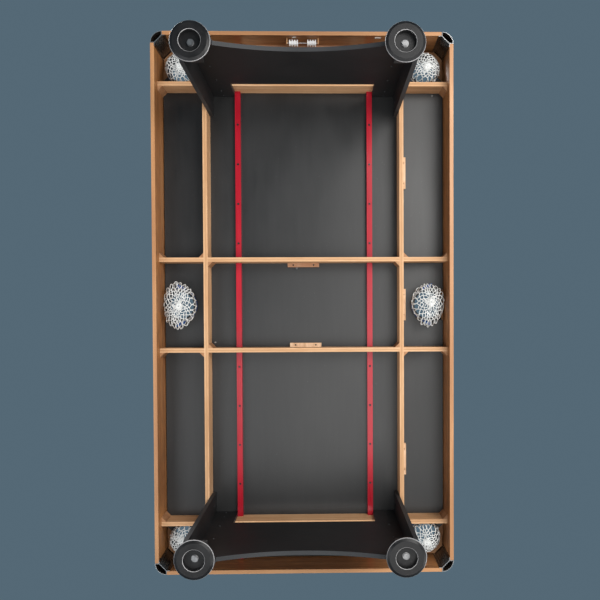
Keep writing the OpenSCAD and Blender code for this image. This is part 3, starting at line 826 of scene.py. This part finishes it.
def bed_cloth():
    """The whole cloth: four quarters' edges, their hems, and the flat top."""
    quarter, side, corner = cloth_quarter()
    mesh = bmesh.new()
    outline = []
    for sx, sy in ((1, 1), (-1, 1), (-1, -1), (1, -1)):
        turned = [Vector((sx * p.x, sy * p.y)) for p in quarter]
        if sx * sy < 0:
            turned.reverse()
        outline += [p for p in turned if not outline or (p - outline[-1]).length > 1e-6]
        for edge, centre, width in ((side, SIDE, side_flap), (corner, CORNER, corner_flap)):
            placed = [Vector((sx * p.x, sy * p.y)) for p in edge]
            add_hem(mesh, placed, Vector((sx * centre[0], sy * centre[1])), width)
    if (outline[0] - outline[-1]).length < 1e-6:
        outline.pop()
    flat_cloth(mesh, outline)
    bmesh.ops.remove_doubles(mesh, verts=mesh.verts[:], dist=2e-6)
    bmesh.ops.recalc_face_normals(mesh, faces=mesh.faces[:])
    mesh.verts.index_update()
    vertices = [v.co[:] for v in mesh.verts]
    faces = [tuple(v.index for v in face.verts) for face in mesh.faces]
    mesh.free()
    piece = add_piece("bed_cloth_sheet", vertices, faces, cloth)
    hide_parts("bed_cloth")


bed_cloth()


# ---- small things seen from below ----


def rounded_plate(name, centre, size, thick, material):
    """A thin card with round corners, standing on the front apron's inner face."""
    cx, cy, cz = centre
    w, h = size[0] / 2, size[1] / 2
    outline = rounded([(-w, -h), (w, -h), (w, h), (-w, h)], rounds=3, share=0.12)
    layers = [(0.0, 1.0), (thick * 0.8, 1.0), (thick, 0.97)]
    vertices, faces = [], []
    for depth, grow in layers:
        for x, z in outline:
            curl = 0.0006 * (x / w) ** 2 * (depth > 0)
            vertices.append((cx + x * grow, cy + depth + curl, cz + z * grow))
    n = len(outline)
    for i in range(len(layers) - 1):
        for j in range(n):
            k = (j + 1) % n
            faces.append((i * n + j, i * n + k, (i + 1) * n + k, (i + 1) * n + j))
    faces.append(tuple(range(n)))
    faces.append(tuple((len(layers) - 1) * n + j for j in reversed(range(n))))
    return add_piece(name, vertices, faces, material, smooth=False)


front_face = -half_l + BOARD_T
white_paper = paper()
TAG_T = 0.0009
rounded_plate("tag_right", (0.298, front_face, 0.586), (0.024, 0.010), TAG_T, white_paper)
rounded_plate("tag_middle", (-0.033, front_face, 0.585), (0.016, 0.009), TAG_T, white_paper)


def screw_head(vertices, faces, centre, normal, size=0.0045):
    """A domed head with a cross recess."""
    normal = Vector(normal).normalized()
    side = normal.orthogonal().normalized()
    other = normal.cross(side)
    base = len(vertices)
    around = 24
    levels = [(1.0, 0.0), (1.0, 0.0006), (0.86, 0.0016), (0.55, 0.0023), (0.28, 0.0025), (0.2, 0.0012)]
    for grow, height in levels:
        for i in range(around):
            a = 2 * math.pi * i / around
            r = size * grow * (1 if grow > 0.3 else 0.75 + 0.5 * math.cos(2 * a) ** 2)
            p = Vector(centre) + side * (r * math.cos(a)) + other * (r * math.sin(a)) + normal * height
            vertices.append(p)
    for i in range(len(levels) - 1):
        for j in range(around):
            k = (j + 1) % around
            a = base + i * around
            faces.append((a + j, a + k, a + around + k, a + around + j))
    faces.append(tuple(base + (len(levels) - 1) * around + j for j in range(around)))


def bright_screws():
    """Four screw heads in bare steel: two on the bed, one on the right long beam, one by a cleat."""
    vertices, faces = [], []
    spots = [
        ((-0.372, 0.154, BED_LOW), (0, 0, -1)),
        ((0.533, -0.867, BED_LOW), (0, 0, -1)),
        ((0.403, -0.712, 0.655), (1, 0, 0)),
        # Hangs 7 mm clear of the front middle cleat, which is narrower than when this was placed
        ((-0.0315, -0.1518, BED_LOW - 0.022), (0, 0, -1)),
    ]
    for centre, normal in spots:
        screw_head(vertices, faces, centre, normal)
    piece = add_piece("bright_screws", vertices, faces, steel)


bright_screws()


# ---- stage: pale floor that is see-through from below, soft lights, camera ----


def floor_material():
    p = Paint("floor", Roughness=0.7)
    p.colour(p.ramp(p.noise(3), [(0.3, (0.66, 0.67, 0.67)), (0.7, (0.72, 0.73, 0.73))]))
    back = p.tree.nodes.new("ShaderNodeNewGeometry").outputs["Backfacing"]
    clear = p.tree.nodes.new("ShaderNodeBsdfTransparent")
    choose = p.tree.nodes.new("ShaderNodeMixShader")
    output = p.tree.nodes["Material Output"]
    p.join(back, choose.inputs[0])
    p.join(p.shader.outputs[0], choose.inputs[1])
    p.join(clear.outputs[0], choose.inputs[2])
    p.join(choose.outputs[0], output.inputs["Surface"])
    return p.material


def make_floor():
    reach = 9
    mesh = bpy.data.meshes.new("floor")
    corners = [(-reach, -reach, 0), (reach, -reach, 0), (reach, reach, 0), (-reach, reach, 0)]
    mesh.from_pydata(corners, [], [(0, 1, 2, 3)])
    mesh.materials.append(floor_material())
    floor = bpy.data.objects.new("floor", mesh)
    floor.location.z = -0.0005
    floor.visible_shadow = False
    floor.visible_glossy = False
    bpy.context.scene.collection.objects.link(floor)


def softbox(name, place, target, size, watts, colour=(1, 1, 1)):
    data = bpy.data.lights.new(name, "AREA")
    data.shape = "RECTANGLE"
    data.size, data.size_y = size
    data.energy = watts
    data.color = colour
    lamp = bpy.data.objects.new(name, data)
    lamp.location = place
    aim = Vector(target) - Vector(place)
    lamp.rotation_euler = aim.to_track_quat("-Z", "Y").to_euler()
    lamp.visible_camera = False
    bpy.context.scene.collection.objects.link(lamp)


def make_world():
    world = bpy.data.worlds.new("studio")
    world.use_nodes = True
    background = world.node_tree.nodes["Background"]
    background.inputs["Color"].default_value = (0.090, 0.140, 0.180, 1)
    background.inputs["Strength"].default_value = 1.0
    bpy.context.scene.world = world
    bpy.context.scene.view_settings.view_transform = "Standard"


def make_camera():
    """Below the table, looking up, at the photograph's angle; the picture is a little off axis."""
    data = bpy.data.cameras.new("camera")
    data.lens = 44.1
    data.shift_x, data.shift_y = -0.0634, 0.0518
    camera = bpy.data.objects.new("camera", data)
    turn = (
        Matrix.Rotation(-0.0046, 3, "Z")
        @ Matrix.Rotation(-0.0214, 3, "Y")
        @ Matrix.Rotation(0.0222, 3, "X")
    )
    axes = turn.transposed() @ Matrix.Diagonal((1, -1, -1))
    camera.matrix_world = Matrix.Translation((0.0731, 0.0411, -2.3484)) @ axes.to_4x4()
    bpy.context.scene.collection.objects.link(camera)
    bpy.context.scene.camera = camera


make_floor()
make_world()
make_camera()
softbox("key_below", (1.5, -1.0, -1.9), (0, 0, 0.6), (1.6, 1.6), 88, (1.0, 0.98, 0.95))
softbox("fill_below", (-1.9, 0.9, -1.7), (0, 0, 0.6), (1.8, 1.8), 34, (0.97, 0.98, 1.0))
softbox("centre_below", (0.4, 0.8, -2.5), (0, 0, 0.6), (2.0, 2.0), 44, (1.0, 0.98, 0.95))
softbox("side_below", (2.6, 1.9, -1.1), (-0.2, -0.4, 0.6), (1.4, 1.4), 42, (1.0, 0.97, 0.94))
softbox("key_above", (-2.2, -2.4, 3.4), (0, 0, 0.6), (2.2, 2.2), 150)
softbox("fill_above", (2.8, 1.4, 2.6), (0, 0, 0.6), (2.4, 2.4), 60)
